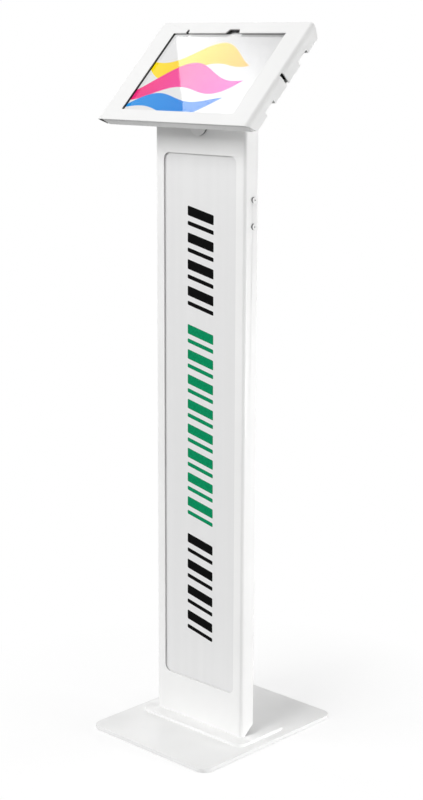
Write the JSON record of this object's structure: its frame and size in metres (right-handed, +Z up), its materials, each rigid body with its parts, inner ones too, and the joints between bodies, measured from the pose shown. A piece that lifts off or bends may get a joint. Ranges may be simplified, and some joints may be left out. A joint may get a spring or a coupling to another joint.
{
  "type": "tablet kiosk stand",
  "caption": "Floor-standing tablet kiosk: folded white steel column with a graphic window on a flat base, under a tilted locked tablet enclosure that turns to portrait.",
  "frame": {"origin": "middle of the base at floor level, under the rubber pads", "axes": "+Z up; -Y is the front, towards the person at the screen; +X is that person's right"},
  "size_m": [0.309, 0.302, 1.107],
  "materials": {
    "white_coat": "fine-grained white powder coat, satin",
    "steel": "zinc-plated steel, fine brushed",
    "black_screw": "black oxide, satin",
    "rubber": "matte black rubber",
    "white_plastic": "matte white moulding",
    "graphic_sheet": "printed plastic sheet, satin",
    "foam": "dark closed-cell foam",
    "tablet_metal": "bead-blasted silver",
    "display": null,
    "cover_glass": "polished clear glass"
  },
  "bodies": {
    "stand": {"base_plate": "white_coat", "rubber_pads": "rubber", "foot_plate": "white_coat", "base_screws": "steel", "column_shell": "white_coat", "rear_panel": "white_coat", "rear_screws": "steel", "neck_bracket": "steel", "side_screws": "steel", "guide_left": "white_plastic", "guide_right": "white_plastic", "insert_stop": "white_plastic", "cheek_left": "white_coat", "cheek_right": "white_coat", "neck_plate": "white_coat", "slide_washer": "white_plastic", "wave_washer": "steel"},
    "insert": {"graphic_insert": "graphic_sheet", "pull_tab": "white_plastic"},
    "head": {"turn_plate": "steel", "pivot_tube": "steel", "pivot_nut": "steel", "stop_pin": "steel", "turn_screws": "steel", "back_tray": "white_coat", "tablet_pads": "foam", "tablet_stops": "foam", "tablet_body": "tablet_metal", "tablet_display": "display", "tablet_glass": "cover_glass", "cover_screws": "black_screw"},
    "cover": {"front_cover": "white_coat", "cover_posts": "steel", "cover_gasket": "foam"}
  },
  "joints": [
    {"name": "insert_lift", "type": "slide", "parent": "stand", "child": "insert", "axis": [0, 0, 1], "range_m": [0, 0.022]},
    {"name": "head_turn", "type": "hinge", "parent": "stand", "child": "head", "pos_m": [0, -0.0279, 1.036], "axis": [0, -0.7071, 0.7071], "range_deg": [0, 90]},
    {"name": "cover_lift", "type": "slide", "parent": "head", "child": "cover", "axis": [0, -0.7071, 0.7071], "range_m": [0, 0.045]}
  ]
}
